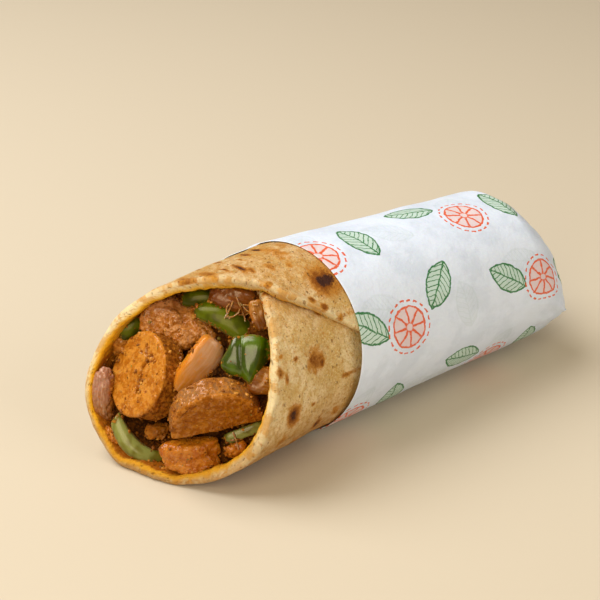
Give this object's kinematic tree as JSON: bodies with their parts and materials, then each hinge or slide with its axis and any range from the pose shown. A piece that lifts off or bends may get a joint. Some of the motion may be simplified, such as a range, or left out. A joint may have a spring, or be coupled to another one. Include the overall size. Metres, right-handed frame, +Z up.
{
  "type": "filled flatbread roll in a paper sleeve",
  "caption": "Flatbread rolled round a spiced soya chaap, onion and pepper filling, lying on its side with its open mouth showing and its rear part wrapped in paper.",
  "frame": {"origin": "middle of the underside of the whole roll, on the surface it lies on", "axes": "+X along the roll towards the closed end of the paper, -X towards the open mouth, +Z up, -Y the side with the free edge of the bread"},
  "size_m": [0.1618, 0.0622, 0.0597],
  "materials": {
    "bread": "griddled dough with brown spots and a little oil",
    "paper": "thin greaseproof paper with a light green and orange print",
    "masala": "moist spice paste, slightly glossy",
    "chaap": "roasted soya, rough and a little oily",
    "chaap_dark": "well browned soya with an oily skin",
    "onion": "soft cooked onion, translucent and glossy",
    "onion_pink": "soft cooked pink onion, glossy",
    "pepper": "cooked green pepper skin, glossy"
  },
  "bodies": {
    "root": {"flatbread": "bread", "paper_wrap": "paper", "filling_bed": "masala", "chaap_half_slice": "chaap_dark", "onion_petal": "onion", "chaap_slice": "chaap", "pepper_folded": "pepper", "pepper_upper": "pepper", "chaap_chunk": "chaap", "pepper_lower": "pepper", "chaap_nugget": "chaap", "onion_far": "onion_pink", "chunk_far": "chaap_dark", "pepper_far": "pepper", "pepper_back": "pepper", "chunk_upper": "chaap_dark", "onion_near": "onion", "onion_brown": "chaap_dark", "pepper_sliver": "pepper", "nugget_near": "chaap_dark", "nugget_middle": "chaap_dark", "nugget_low": "chaap_dark"}
  },
  "joints": []
}
